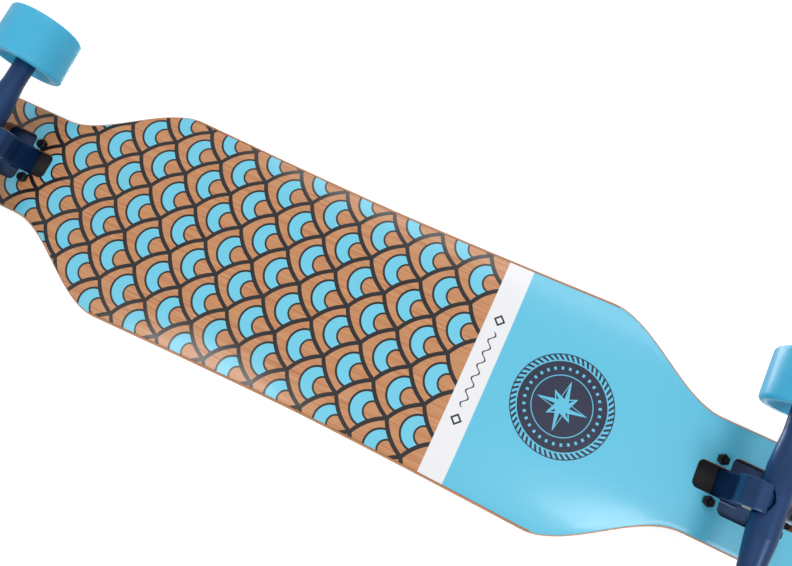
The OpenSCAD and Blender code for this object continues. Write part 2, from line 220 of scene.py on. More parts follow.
@dataclass(frozen=True)
class ScalePrint:
    """Rows of pointed scales printed on the deck, in millimetres.

    The scales' corners lie on a lattice of pitch_x by pitch_y, and each scale holds two arcs.
    """

    pitch_x: float = 27.66
    pitch_y: float = 27.61
    shift_x: float = -1.9
    shift_y: float = -1.7
    bulge: float = 3.6
    outline: float = 2.15
    outer_x: float = 34.0
    outer_r: float = 18.0
    outer_line: float = 1.12
    inner_x: float = 40.0
    inner_r: float = 9.8
    inner_line: float = 0.98
    last_corner: float = 100.0
    soft: float = 0.16

    def group(self) -> bpy.types.NodeTree:
        """Builds the group, which gives the Line and Fill masks at a position."""
        tree, g, start, end = new_group("Scale print", {"Position": "Vector"}, ("Line", "Fill"))
        raw_x, raw_y, _ = g.split(start.outputs["Position"])
        x = g.math("MULTIPLY", raw_x, 1000.0)
        y = g.math("MULTIPLY", raw_y, 1000.0)
        p = g.math("DIVIDE", g.math("SUBTRACT", x, self.shift_x), self.pitch_x)
        q = g.math("DIVIDE", g.math("SUBTRACT", y, self.shift_y), self.pitch_y)
        s = g.math("MULTIPLY", g.math("ADD", p, q), 0.5)
        t = g.math("MULTIPLY", g.math("SUBTRACT", p, q), 0.5)
        side = math.hypot(self.pitch_x, self.pitch_y)
        s_bent = self._bend(g, s, t, 4 * self.bulge / side)
        t_bent = self._bend(g, t, s, 4 * self.bulge / side)
        i = g.math("FLOOR", s_bent)
        j = g.math("FLOOR", t_bent)
        near_s = self._to_edge(g, g.math("SUBTRACT", s_bent, i))
        near_t = self._to_edge(g, g.math("SUBTRACT", t_bent, j))
        gap = g.math("MULTIPLY", g.math("MINIMUM", near_s, near_t), side)
        outline = g.below(gap, self.outline, self.soft)
        corner_x = g.math("MULTIPLY_ADD", g.math("ADD", i, j), self.pitch_x, self.shift_x)
        corner_y = g.math("MULTIPLY_ADD", g.math("SUBTRACT", i, j), self.pitch_y, self.shift_y)
        u = g.math("SUBTRACT", x, corner_x)
        v = g.math("SUBTRACT", y, corner_y)
        outer = self._arch(g, u, v, self.outer_x)
        inner = self._arch(g, u, v, self.inner_x)
        filled = g.below(corner_x, self.last_corner, 0.5)
        outer_line = self._ring(g, outer, self.outer_r, self.outer_line)
        inner_line = self._ring(g, inner, self.inner_r, self.inner_line)
        arcs = g.math("MULTIPLY", filled, g.math("MAXIMUM", outer_line, inner_line))
        g.feed(end.inputs["Line"], g.math("MAXIMUM", outline, arcs))
        within = g.math(
            "MULTIPLY",
            g.below(outer, self.outer_r, self.soft),
            g.math("SUBTRACT", 1.0, g.below(inner, self.inner_r, self.soft)),
        )
        g.feed(end.inputs["Fill"], g.math("MULTIPLY", filled, within))
        return tree

    def _bend(self, g: Graph, along: object, across: object, amount: float) -> bpy.types.NodeSocket:
        """Moves a lattice coordinate so that the scales' straight edges become arcs."""
        part = g.math("FRACT", across)
        hump = g.math("MULTIPLY", part, g.math("SUBTRACT", 1.0, part))
        return g.math("MULTIPLY_ADD", hump, amount, along)

    def _to_edge(self, g: Graph, part: object) -> bpy.types.NodeSocket:
        """Gives the distance from a fraction to the nearer of 0 and 1."""
        return g.math("MINIMUM", part, g.math("SUBTRACT", 1.0, part))

    def _arch(self, g: Graph, u: object, v: object, centre: float) -> bpy.types.NodeSocket:
        """Gives the distance to a centre line that runs from centre to the scale's point."""
        back = g.math("MINIMUM", g.math("SUBTRACT", u, centre), 0.0)
        square = g.math("ADD", g.math("MULTIPLY", back, back), g.math("MULTIPLY", v, v))
        return g.math("SQRT", square)

    def _ring(self, g: Graph, distance: object, radius: float, half: float) -> bpy.types.NodeSocket:
        """Gives a mask of a thin line at a radius."""
        off = g.math("ABSOLUTE", g.math("SUBTRACT", distance, radius))
        return g.below(off, half, self.soft)


@dataclass(frozen=True)
class Emblem:
    """Round compass rose in a rope border, in millimetres."""

    centre_x: float = 229.3
    centre_y: float = -2.0
    rim_r: float = 50.2
    rope_r: float = 44.6
    disc_r: float = 43.4
    ring_r: float = 29.7
    strands: int = 56
    star_r: float = 26.0
    minor_r: float = 17.0
    waist_r: float = 7.0
    dash_r: float = 36.5
    dashes: int = 32
    soft: float = 0.18

    def group(self) -> bpy.types.NodeTree:
        """Builds the group, which gives the Ink mask at a position."""
        tree, g, start, end = new_group("Emblem", {"Position": "Vector"}, ("Ink",))
        raw_x, raw_y, _ = g.split(start.outputs["Position"])
        x = g.math("SUBTRACT", g.math("MULTIPLY", raw_x, 1000.0), self.centre_x)
        y = g.math("SUBTRACT", g.math("MULTIPLY", raw_y, 1000.0), self.centre_y)
        square = g.math("ADD", g.math("MULTIPLY", x, x), g.math("MULTIPLY", y, y))
        radius = g.math("SQRT", square)
        turn = g.math("DIVIDE", g.math("ARCTAN2", y, x), 2 * math.pi)
        disc = g.below(radius, self.disc_r, self.soft)
        rim = self._line(g, radius, self.rim_r, 0.5)
        slant = g.math("MULTIPLY_ADD", radius, 0.12, g.math("MULTIPLY", turn, float(self.strands)))
        strand = g.below(g.math("FRACT", slant), 0.48, 0.05)
        rope_mid = (self.rope_r + self.rim_r) / 2
        rope = g.math("MULTIPLY", strand, self._line(g, radius, rope_mid, 2.9))
        ink = g.math("MAXIMUM", disc, g.math("MAXIMUM", rim, rope))
        ring = self._line(g, radius, self.ring_r, 0.45)
        dash_turn = g.math("FRACT", g.math("MULTIPLY", turn, float(self.dashes)))
        dash = g.math(
            "MULTIPLY", self._line(g, radius, self.dash_r, 1.5), g.below(dash_turn, 0.34, 0.04)
        )
        rose = g.math(
            "MAXIMUM",
            self._star(g, radius, turn, self.star_r, 0.0),
            self._star(g, radius, turn, self.minor_r, 0.125),
        )
        light = g.math("MAXIMUM", g.math("MAXIMUM", ring, dash), rose)
        g.feed(end.inputs["Ink"], g.math("MULTIPLY", ink, g.math("SUBTRACT", 1.0, light)))
        return tree

    def _line(self, g: Graph, radius: object, at: float, half: float) -> bpy.types.NodeSocket:
        """Gives a mask of a round line."""
        return g.below(g.math("ABSOLUTE", g.math("SUBTRACT", radius, at)), half, self.soft)

    def _star(
        self, g: Graph, radius: object, turn: object, tip: float, offset: float
    ) -> bpy.types.NodeSocket:
        """Gives the mask of a four-pointed star, with one side of each point left open."""
        part = g.math("FRACT", g.math("MULTIPLY", g.math("ADD", turn, offset + 1.125), 4.0))
        swing = g.math("MULTIPLY", g.math("SUBTRACT", part, 0.5), math.pi / 2)
        angle = g.math("ABSOLUTE", swing)
        along = g.math("MULTIPLY", radius, g.math("COSINE", angle))
        across = g.math("MULTIPLY", radius, g.math("SINE", angle))
        valley = self.waist_r * math.cos(math.pi / 4)
        slope = (tip - valley) / valley
        edge = g.math("MULTIPLY_ADD", across, slope, along)
        whole = g.below(edge, tip, 0.3)
        core = g.below(edge, tip - 3.2, 0.3)
        open_side = g.math("MULTIPLY", core, g.below(swing, -0.02, 0.01))
        return g.math("MULTIPLY", whole, g.math("SUBTRACT", 1.0, open_side))


def grain_group() -> bpy.types.NodeTree:
    """Builds the wood grain group, which gives Streak and Tone along X."""
    tree, g, start, end = new_group("Wood grain", {"Position": "Vector"}, ("Streak", "Tone"))
    position = start.outputs["Position"]
    fine = g.noise(g.stretch(position, (9.0, 420.0, 420.0)), 1.0, 6.0, 0.65)
    broad = g.noise(g.stretch(position, (3.0, 55.0, 55.0)), 1.0, 3.0, 0.55)
    g.feed(end.inputs["Streak"], fine)
    g.feed(end.inputs["Tone"], broad)
    return tree


def speckle_group() -> bpy.types.NodeTree:
    """Builds the surface variation group, which gives Cloud, large soft patches, and Speck."""
    tree, g, start, end = new_group(
        "Surface variation", {"Position": "Vector", "Cloud Size": "Float", "Speck Size": "Float"},
        ("Cloud", "Speck"),
    )
    for label, detail in (("Cloud", 3.0), ("Speck", 2.0)):
        node = g.add("TexNoise")
        g.feed(node.inputs["Vector"], start.outputs["Position"])
        scale = g.math("DIVIDE", 1.0, start.outputs[label + " Size"])
        g.feed(node.inputs["Scale"], scale)
        node.inputs["Detail"].default_value = detail
        g.feed(end.inputs[label], node.outputs[0])
    return tree


# ---------------------------------------------------------------------------
# Finishes
# ---------------------------------------------------------------------------


class Groups:
    """The shared node groups, each built once."""

    def __init__(self) -> None:
        """Builds every group."""
        self.scales = ScalePrint().group()
        self.emblem = Emblem().group()
        self.grain = grain_group()
        self.variation = speckle_group()


@dataclass(frozen=True)
class Finish:
    """A plain finish whose colour, gloss and fine bump vary over the surface."""

    name: str
    color: Color
    dark: Color
    roughness: tuple[float, float] = (0.4, 0.5)
    metallic: float = 0.0
    coat: float = 0.0
    coat_roughness: float = 0.08
    subsurface: float = 0.0
    cloud_size: float = 0.02
    speck_size: float = 0.0006
    bump: float = 0.00002
    ior: float = 1.5

    def material(self, groups: Groups) -> bpy.types.Material:
        """Builds the material.

        Args:
            groups: the shared node groups.

        Returns:
            The new material.
        """
        material = bpy.data.materials.new(self.name)
        material.use_nodes = True
        g = Graph(material.node_tree)
        shader = material.node_tree.nodes["Principled BSDF"]
        look = g.use(
            groups.variation, Position=g.place(), Cloud_Size=self.cloud_size,
            Speck_Size=self.speck_size,
        )
        cloud = look.outputs["Cloud"]
        g.feed(shader.inputs["Base Color"], g.blend(cloud, self.dark, self.color))
        g.feed(shader.inputs["Roughness"], g.remap(cloud, *self.roughness))
        g.feed(shader.inputs["Normal"], g.bump(look.outputs["Speck"], self.bump))
        shader.inputs["Metallic"].default_value = self.metallic
        shader.inputs["Coat Weight"].default_value = self.coat
        shader.inputs["Coat Roughness"].default_value = self.coat_roughness
        shader.inputs["IOR"].default_value = self.ior
        shader.inputs["Subsurface Weight"].default_value = self.subsurface
        shader.inputs["Subsurface Scale"].default_value = 0.004
        shader.inputs["Subsurface Radius"].default_value = (0.6, 0.8, 1.0)
        return material


class Slot(Enum):
    """The record's material slots, each with its finish."""

    DECK = "deck_wood"
    GRIP = "grip"
    TRUCK = "truck_paint"
    RUBBER = "black_rubber"
    ZINC = "zinc_steel"
    BLACK = "black_steel"
    BUSHING = "bushing_urethane"
    BEARING = "bearing_steel"
    TYRE = "wheel_urethane"
    CORE = "core_plastic"
    CAGE = "cage_brass"


FINISHES: dict[Slot, Finish] = {
    Slot.TRUCK: Finish(
        "truck paint", srgb(16, 66, 120), srgb(8, 46, 88), (0.3, 0.42), metallic=0.35,
        coat=0.25, coat_roughness=0.25, speck_size=0.0011, bump=0.00006,
    ),
    Slot.RUBBER: Finish("rubber", srgb(46, 46, 50), srgb(28, 28, 30), (0.7, 0.85), bump=0.00004),
    Slot.ZINC: Finish(
        "zinc plate", srgb(205, 207, 210), srgb(160, 162, 168), (0.22, 0.4), metallic=1.0,
        cloud_size=0.006,
    ),
    Slot.BLACK: Finish(
        "black oxide", srgb(38, 39, 44), srgb(20, 20, 22), (0.28, 0.45), metallic=0.6,
        cloud_size=0.004,
    ),
    Slot.BUSHING: Finish(
        "bushing urethane", srgb(224, 214, 190), srgb(206, 194, 166), (0.35, 0.5),
        subsurface=0.2, cloud_size=0.008,
    ),
    Slot.BEARING: Finish(
        "bearing steel", srgb(215, 216, 220), srgb(180, 182, 188), (0.12, 0.22), metallic=1.0,
        cloud_size=0.004, bump=0.00001,
    ),
    Slot.TYRE: Finish(
        "wheel urethane", srgb(74, 190, 226), srgb(58, 172, 214), (0.28, 0.4),
        subsurface=0.35, coat=0.1, cloud_size=0.03, speck_size=0.0009, bump=0.00003,
    ),
    Slot.CORE: Finish(
        "core plastic", srgb(150, 205, 230), srgb(128, 190, 220), (0.4, 0.5), subsurface=0.1,
    ),
    Slot.CAGE: Finish(
        "pressed brass", srgb(205, 165, 90), srgb(170, 130, 60), (0.25, 0.4), metallic=1.0,
        cloud_size=0.003,
    ),
}


@dataclass(frozen=True)
class DeckFinish:
    """Lacquered bamboo with the scale print, a white band and solid blue beyond it."""

    wood_light: Color = srgb(216, 160, 114)
    wood_mid: Color = srgb(200, 138, 90)
    wood_dark: Color = srgb(172, 96, 52)
    ink: Color = srgb(22, 16, 20)
    navy: Color = srgb(24, 32, 62)
    blue: Color = srgb(112, 206, 232)
    paint: Color = srgb(96, 196, 226)
    white: Color = srgb(240, 239, 241)
    ply_light: Color = srgb(206, 160, 112)
    ply_dark: Color = srgb(140, 86, 50)
    band_start: float = 0.129
    band_end: float = 0.1553
    wave_length: float = 0.0135
    wave_height: float = 0.0026
    underside: float = 0.081
    thickness: float = 0.011
    flat_half: float = 0.042
    concave: float = 1.4

    def print_material(self, groups: Groups) -> bpy.types.Material:
        """Builds the printed underside."""
        material = bpy.data.materials.new("deck print")
        material.use_nodes = True
        g = Graph(material.node_tree)
        shader = material.node_tree.nodes["Principled BSDF"]
        position = g.place()
        x, y, _ = g.split(position)
        wood, streak = self._wood(g, groups, position)
        scales = g.use(groups.scales, Position=position)
        emblem = g.use(groups.emblem, Position=position)
        color = g.blend(scales.outputs["Fill"], wood, self.blue)
        color = g.blend(scales.outputs["Line"], color, self.ink)
        in_band = g.below(x, self.band_start, 0.0002)
        color = g.blend(in_band, self.white, color)
        color = g.blend(self._band_motif(g, x, y), color, self.navy)
        past_band = g.below(x, self.band_end, 0.0002)
        painted = g.blend(emblem.outputs["Ink"], self.paint, self.navy)
        color = g.blend(past_band, painted, color)
        g.feed(shader.inputs["Base Color"], color)
        inked = g.math("MAXIMUM", scales.outputs["Line"], scales.outputs["Fill"])
        g.feed(shader.inputs["Roughness"], g.remap(inked, 0.36, 0.3))
        relief = g.math("MULTIPLY_ADD", streak, 0.25, inked)
        g.feed(shader.inputs["Normal"], g.bump(relief, 0.00003, 0.6))
        shader.inputs["Coat Weight"].default_value = 0.5
        shader.inputs["Coat Roughness"].default_value = 0.16
        return material

    def edge_material(self, groups: Groups) -> bpy.types.Material:
        """Builds the plywood edge, whose layers follow the concave."""
        material = bpy.data.materials.new("deck edge")
        material.use_nodes = True
        g = Graph(material.node_tree)
        shader = material.node_tree.nodes["Principled BSDF"]
        position = g.place()
        _, y, z = g.split(position)
        out = g.math("MAXIMUM", g.math("SUBTRACT", g.math("ABSOLUTE", y), self.flat_half), 0.0)
        rise = g.math("MULTIPLY", g.math("MULTIPLY", out, out), self.concave)
        depth = g.math("SUBTRACT", g.math("SUBTRACT", z, self.underside), rise)
        layer = g.math("MULTIPLY", depth, 7 / self.thickness)
        glue = g.below(g.math("FRACT", layer), 0.1, 0.03)
        odd = g.math("FRACT", g.math("MULTIPLY", g.math("FLOOR", layer), 0.5))
        wood, streak = self._wood(g, groups, position)
        tone = g.blend(g.math("MULTIPLY", odd, 0.8), wood, self.ply_light)
        color = g.blend(glue, tone, self.ply_dark)
        g.feed(shader.inputs["Base Color"], color)
        g.feed(shader.inputs["Roughness"], g.remap(streak, 0.35, 0.55))
        g.feed(shader.inputs["Normal"], g.bump(streak, 0.00005))
        shader.inputs["Coat Weight"].default_value = 0.4
        shader.inputs["Coat Roughness"].default_value = 0.2
        return material

    def grip_material(self) -> bpy.types.Material:
        """Builds the black grit, with fine paler grains whose lighter colour is partly the grit's
        own and partly painted glint.
        """
        material = bpy.data.materials.new("grip grit")
        material.use_nodes = True
        g = Graph(material.node_tree)
        shader = material.node_tree.nodes["Principled BSDF"]
        position = g.place()
        grains = g.add("TexVoronoi")
        g.feed(grains.inputs["Vector"], position)
        grains.inputs["Scale"].default_value = 1600.0
        worn = g.noise(position, 9.0, 4.0)
        grey = g.blend(worn, srgb(30, 30, 33), srgb(52, 52, 56))
        # Painted glint: the grains' paler grey is partly the grit's own colour and partly painted
        # glint; their lower roughness gives real gloss.
        grain_and_glint = g.below(grains.outputs["Distance"], 0.16, 0.04)
        g.feed(shader.inputs["Base Color"], g.blend(grain_and_glint, grey, srgb(96, 98, 104)))
        g.feed(shader.inputs["Roughness"], g.remap(grain_and_glint, 0.95, 0.5))
        height = g.math("SUBTRACT", 1.0, grains.outputs["Distance"])
        g.feed(shader.inputs["Normal"], g.bump(height, 0.0003, 0.9))
        return material

    def _wood(
        self, g: Graph, groups: Groups, position: object
    ) -> tuple[bpy.types.NodeSocket, bpy.types.NodeSocket]:
        """Gives the bare wood's colour and its fine streaks."""
        grain = g.use(groups.grain, Position=position)
        streak = grain.outputs["Streak"]
        ramp = g.add("ValToRGB")
        g.feed(ramp.inputs["Fac"], streak)
        stops = ramp.color_ramp.elements
        stops[0].position = 0.3
        stops[0].color = (*self.wood_dark, 1.0)
        stops[1].position = 0.72
        stops[1].color = (*self.wood_light, 1.0)
        middle = stops.new(0.5)
        middle.color = (*self.wood_mid, 1.0)
        tone = g.below(grain.outputs["Tone"], 0.5, 0.16)
        return g.blend(g.math("MULTIPLY", tone, 0.45), ramp.outputs[0], self.wood_mid), streak

    def _band_motif(self, g: Graph, x: object, y: object) -> bpy.types.NodeSocket:
        """Gives the mask of a wavy line between two diamonds along the white band."""
        centre = (self.band_start + self.band_end) / 2
        turn = g.math("MULTIPLY", y, 2 * math.pi / self.wave_length)
        wave = g.math("MULTIPLY", g.math("SINE", turn), self.wave_height)
        off = g.math("SUBTRACT", g.math("SUBTRACT", x, centre), wave)
        line = g.below(g.math("ABSOLUTE", off), 0.0008, 0.0002)
        reach = g.math("ABSOLUTE", y)
        line = g.math("MULTIPLY", line, g.below(reach, 0.0405, 0.0002))
        beside = g.math("ABSOLUTE", g.math("SUBTRACT", x, centre))
        along = g.math("ABSOLUTE", g.math("SUBTRACT", reach, 0.053))
        diamond = g.below(g.math("ADD", beside, along), 0.0062, 0.0002)
        hollow = g.below(g.math("ADD", beside, along), 0.0036, 0.0002)
        diamond = g.math("MULTIPLY", diamond, g.math("SUBTRACT", 1.0, hollow))
        return g.math("MAXIMUM", line, diamond)


# ---------------------------------------------------------------------------
# Mesh helpers
# ---------------------------------------------------------------------------


def finish_mesh(
    name: str, mesh: bmesh.types.BMesh, materials: Sequence[bpy.types.Material], sharp: float = 35.0
) -> bpy.types.Object:
    """Turns a bmesh into a shown object.

    Args:
        name: the object's name.
        mesh: the shape, which is freed.
        materials: the object's materials.
        sharp: the angle in degrees past which an edge stays sharp.

    Returns:
        The new object.
    """
    data = bpy.data.meshes.new(name)
    mesh.to_mesh(data)
    mesh.free()
    for material in materials:
        data.materials.append(material)
    data.shade_smooth()
    data.set_sharp_from_angle(angle=math.radians(sharp))
    piece = bpy.data.objects.new(name, data)
    bpy.context.scene.collection.objects.link(piece)
    return piece


def arc(cx: float, cy: float, radius: float, start: float, end: float, steps: int) -> list[tuple]:
    """Gives points on a round arc, with its angles in degrees."""
    return [
        (cx + radius * math.cos(a), cy + radius * math.sin(a))
        for a in (math.radians(start + (end - start) * i / steps) for i in range(steps + 1))
    ]


def apply_modifiers(piece: bpy.types.Object) -> None:
    """Bakes an object's modifiers into its mesh."""
    graph = bpy.context.evaluated_depsgraph_get()
    data = bpy.data.meshes.new_from_object(piece.evaluated_get(graph))
    piece.modifiers.clear()
    piece.data = data


# ---------------------------------------------------------------------------
# Sub-assemblies
# ---------------------------------------------------------------------------


@dataclass
class Deck:
    """The plywood deck and its grip tape."""

    materials: dict[str, bpy.types.Material]
    half_length: float = 0.520
    waist_half: float = 0.1155
    wide_half: float = 0.1202
    neck_half: float = 0.058
    shoulder_in: float = 0.242
    shoulder_out: float = 0.372
    end_length: float = 0.055
    underside: float = 0.081
    thickness: float = 0.011
    flat_half: float = 0.042
    concave: float = 1.4
    grip_thickness: float = 0.0009
    grip_inset: float = 0.003
    round_over: float = 0.0032
    axle_x: float = 0.409
    bolt_x: float = 0.00575
    bolt_pitch: tuple[float, float] = (0.0635, 0.0413)
    slot_size: tuple[float, float] = (0.1015, 0.028)
    bay_size: tuple[float, float] = (0.0435, 0.056)
    window_size: tuple[float, float] = (0.115, 0.063)
    corner: float = 0.006
    bolt_hole: float = 0.00275
    cutter_height: float = 0.06
    columns: int = 200
    rows: int = 28

    def half_width(self, x: float) -> float:
        """Gives the deck's half width at a distance from its middle."""
        x = abs(x)
        body = self.waist_half + (self.wide_half - self.waist_half) * (
            min(x, self.shoulder_in) / self.shoulder_in
        ) ** 1.5
        t = (x - self.shoulder_in) / (self.shoulder_out - self.shoulder_in)
        t = min(1.0, max(0.0, t))
        shoulder = body - (self.wide_half - self.neck_half) * t * t * (3 - 2 * t)
        tip = max(0.0, x - (self.half_length - self.end_length)) / self.end_length
        return shoulder * math.sqrt(max(0.0, 1 - tip * tip))

    def rise(self, y: float) -> float:
        """Gives how far the concave lifts the deck at a distance across it."""
        return self.concave * max(0.0, abs(y) - self.flat_half) ** 2

    def build(self) -> None:
        """Makes both pieces and puts them on the root body."""
        board = self._layer(0.0, self.thickness, 0.0, self.round_over)
        self._paint_board(board)
        deck = finish_mesh(
            "deck_finished", board,
            [self.materials[k] for k in ("print", "edge", "edge")],
        )
        self._cut(deck, [self._slot_cutter(end) for end in (-1, 1)] + [self._bolt_cutter()])
        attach(deck, "root")
        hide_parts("deck")
        top = self.thickness
        sheet = self._layer(top, top + self.grip_thickness, self.grip_inset, 0.0002)
        grip = finish_mesh("grip_finished", sheet, [self.materials["grip"]])
        self._cut(grip, [self._pad_cutter(end) for end in (-1, 1)])
        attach(grip, "root")
        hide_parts("grip_tape")
        log.info("deck: %d faces, grip: %d faces", len(deck.data.polygons), len(grip.data.polygons))

    def _layer(self, low: float, high: float, inset: float, rounding: float) -> bmesh.types.BMesh:
        """Makes a closed layer of the deck from a grid that is bent to its outline."""
        mesh = bmesh.new()
        bmesh.ops.create_grid(mesh, x_segments=self.columns, y_segments=self.rows, size=1.0)
        keys = (mesh.verts.layers.float.new("along"), mesh.verts.layers.float.new("across"))
        for vert in mesh.verts:
            vert[keys[0]], vert[keys[1]] = vert.co.x, vert.co.y
        turns = [math.radians(step) for step in (0.0, 22.5, 45.0, 67.5, 90.0)]
        rims = [(inset + rounding * (1 - math.sin(a)), low + rounding * (1 - math.cos(a)))
                for a in turns]
        rims += [(edge, high + low - z) for edge, z in reversed(rims)]
        self._place(mesh.verts, keys, *rims[0])
        bmesh.ops.remove_doubles(mesh, verts=mesh.verts, dist=0.00005)
        faces = mesh.faces[:]
        for edge, z in rims[1:]:
            skin = bmesh.ops.extrude_face_region(mesh, geom=faces)["geom"]
            faces = [item for item in skin if isinstance(item, bmesh.types.BMFace)]
            lifted = [item for item in skin if isinstance(item, bmesh.types.BMVert)]
            self._place(lifted, keys, edge, z)
        bmesh.ops.recalc_face_normals(mesh, faces=mesh.faces)
        return mesh

    def _place(self, verts: Sequence[bmesh.types.BMVert], keys: Sequence[object], inset: float,
               height: float) -> None:
        """Puts the grid's points at their places on the board, inside its outline by an inset."""
        straight = self.half_length - self.end_length
        share = 0.88
        for vert in verts:
            side = math.copysign(1.0, vert[keys[0]])
            along = abs(vert[keys[0]])
            if along <= share:
                x = straight * along / share
            else:
                turn = (along - share) / (1 - share) * math.pi / 2
                x = straight + self.end_length * math.sin(turn)
            y = vert[keys[1]] * max(0.0, self.half_width(x) - inset)
            x *= (self.half_length - inset) / self.half_length
            vert.co = (side * x, y, self.underside + height + self.rise(y))

    def _paint_board(self, mesh: bmesh.types.BMesh) -> None:
        """Gives the underside the print and everything else the bare edge."""
        for face in mesh.faces:
            centre = face.calc_center_median()
            depth = centre.z - self.underside - self.rise(centre.y)
            face.material_index = 0 if face.normal.z < -0.93 and depth < 0.001 else 1

    def _rounded_prism(self, x: float, size: tuple[float, float]) -> bmesh.types.BMesh:
        """Makes a tall cutter with rounded corners, centred at x."""
        mesh = bmesh.new()
        bmesh.ops.create_cube(mesh, size=1.0)
        bmesh.ops.scale(mesh, vec=(*size, self.cutter_height), verts=mesh.verts)
        bmesh.ops.translate(mesh, vec=(x, 0, self.underside + 0.005), verts=mesh.verts)
        upright = [e for e in mesh.edges if abs(e.verts[0].co.z - e.verts[1].co.z) > 0.01]
        bmesh.ops.bevel(
            mesh, geom=upright, offset=self.corner, segments=8, affect="EDGES", profile=0.5,
            material=-1,
        )
        return mesh

    def _slot_cutter(self, end: int) -> list[bmesh.types.BMesh]:
        """Makes the cutters of one truck's opening: a long narrow slot and a wide bay."""
        x = end * (self.axle_x + self.bolt_x)
        return [self._rounded_prism(x, size) for size in (self.slot_size, self.bay_size)]

    def _bolt_cutter(self) -> list[bmesh.types.BMesh]:
        """Makes the cutters of the eight bolt holes."""
        cutters = []
        for end in (-1, 1):
            for sx in (-1, 1):
                for sy in (-1, 1):
                    mesh = bmesh.new()
                    bmesh.ops.create_cone(
                        mesh, cap_ends=True, segments=24, radius1=self.bolt_hole,
                        radius2=self.bolt_hole, depth=self.cutter_height,
                    )
                    x = end * (self.axle_x + self.bolt_x + sx * self.bolt_pitch[0] / 2)
                    spot = (x, sy * self.bolt_pitch[1] / 2, self.underside + 0.005)
                    bmesh.ops.translate(mesh, vec=spot, verts=mesh.verts)
                    cutters.append(mesh)
        return cutters

    def _pad_cutter(self, end: int) -> list[bmesh.types.BMesh]:
        """Makes the cutter of the grip tape's window round one riser pad."""
        x = end * (self.axle_x + self.bolt_x)
        return [self._rounded_prism(x, self.window_size)]

    def _cut(self, piece: bpy.types.Object, cutters: list[list[bmesh.types.BMesh]]) -> None:
        """Cuts a piece with each cutter in turn."""
        for mesh in (m for group in cutters for m in group):
            data = bpy.data.meshes.new("cutter")
            mesh.to_mesh(data)
            mesh.free()
            tool = bpy.data.objects.new("cutter", data)
            bpy.context.scene.collection.objects.link(tool)
            cut = piece.modifiers.new("cut", "BOOLEAN")
            cut.operation = "DIFFERENCE"
            cut.solver = "EXACT"
            cut.object = tool
            apply_modifiers(piece)
            bpy.data.objects.remove(tool)
        self._dress_walls(piece)

    def _dress_walls(self, piece: bpy.types.Object) -> None:
        """Gives the cut walls the bare edge, where the piece has one."""
        if len(piece.data.materials) > 1:
            for face in piece.data.polygons:
                if abs(face.normal.z) < 0.5:
                    face.material_index = 1
        piece.data.set_sharp_from_angle(angle=math.radians(35))


@dataclass
class Wheel:
    """One poured urethane wheel, at its end and side of the board."""

    end: int
    side: int
    material: bpy.types.Material
    axle_x: float = 0.409
    axle_z: float = 0.035
    inner: float = 0.081
    width: float = 0.051
    lip: float = 0.004
    bore: float = 0.0175
    core: tuple[float, float] = (0.0905, 0.1155)
    recess: float = 0.0265
    step: float = 0.0012
    dish: float = 0.0016

    def name(self) -> str:
        """Gives the name that the wheel's nodes start with."""
        return ("front" if self.end > 0 else "rear") + "_" + ("left" if self.side > 0 else "right")

    def build(self) -> None:
        """Spins the section round the axle and puts the tyre on its wheel body."""
        mesh = bmesh.new()
        section = self._section()
        verts = [mesh.verts.new((r, self.side * y, 0)) for r, y in section]
        edges = [mesh.edges.new((a, b)) for a, b in zip(verts, verts[1:] + verts[:1])]
        bmesh.ops.spin(
            mesh, geom=verts + edges, axis=(0, 1, 0), cent=(0, 0, 0), angle=2 * math.pi,
            steps=112, use_merge=True,
        )
        bmesh.ops.remove_doubles(mesh, verts=mesh.verts, dist=0.000002)
        bmesh.ops.translate(mesh, vec=(self.end * self.axle_x, 0, self.axle_z), verts=mesh.verts)
        bmesh.ops.recalc_face_normals(mesh, faces=mesh.faces)
        tyre = finish_mesh(self.name() + "_tyre_finished", mesh, [self.material], 40)
        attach(tyre, self.name() + "_wheel")
        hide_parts(self.name() + "_tyre")
        log.info("%s tyre: %d faces", self.name(), len(tyre.data.polygons))

    def _section(self) -> list[tuple]:
        """Gives the tyre's closed section as radius and distance along the axle."""
        rim = self.axle_z
        outer = self.inner + self.width
        lip = self.lip
        hub_in, hub_out = self.core
        dish_r = self.recess + self.step
        dish_in = arc(dish_r, self.inner + self.dish, self.dish, 200, 262, 4)
        dish_out = arc(dish_r, outer - self.dish, self.dish, 98, 160, 4)
        return (
            [(self.bore, hub_in), (self.bore + self.step, hub_in)]
            + dish_in
            + arc(rim - lip, self.inner + lip, lip, 270, 360, 8)
            + [(rim, self.inner + self.width * share) for share in (0.3, 0.5, 0.7)]
            + arc(rim - lip, outer - lip, lip, 0, 90, 8)
            + dish_out
            + [(self.bore + self.step, hub_out), (self.bore, hub_out)]
        )


@dataclass
class Casting:
    """A cast part: the CAD solid with the soft fillets that casting leaves."""

    node: str
    body: str
    source: bpy.types.Object
    material: bpy.types.Material
    grain: float = 0.0009
    passes: int = 5

    def build(self) -> None:
        """Copies the CAD solid, remeshes it finely and melts its edges."""
        data = self.source.data.copy()
        data.materials.clear()
        piece = bpy.data.objects.new(self.node + "_cast", data)
        bpy.context.scene.collection.objects.link(piece)
        mesh = bmesh.new()
        mesh.from_mesh(data)
        bmesh.ops.remove_doubles(mesh, verts=mesh.verts, dist=0.000005)
        mesh.to_mesh(data)
        mesh.free()
        remesh = piece.modifiers.new("remesh", "REMESH")
        remesh.mode = "VOXEL"
        remesh.voxel_size = self.grain
        soften = piece.modifiers.new("soften", "SMOOTH")
        soften.iterations = self.passes
        soften.factor = 0.5
        apply_modifiers(piece)
        piece.data.materials.append(self.material)
        piece.data.shade_smooth()
        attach(piece, self.body)
        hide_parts(self.node)
        log.info("%s: %d faces", self.node, len(piece.data.polygons))


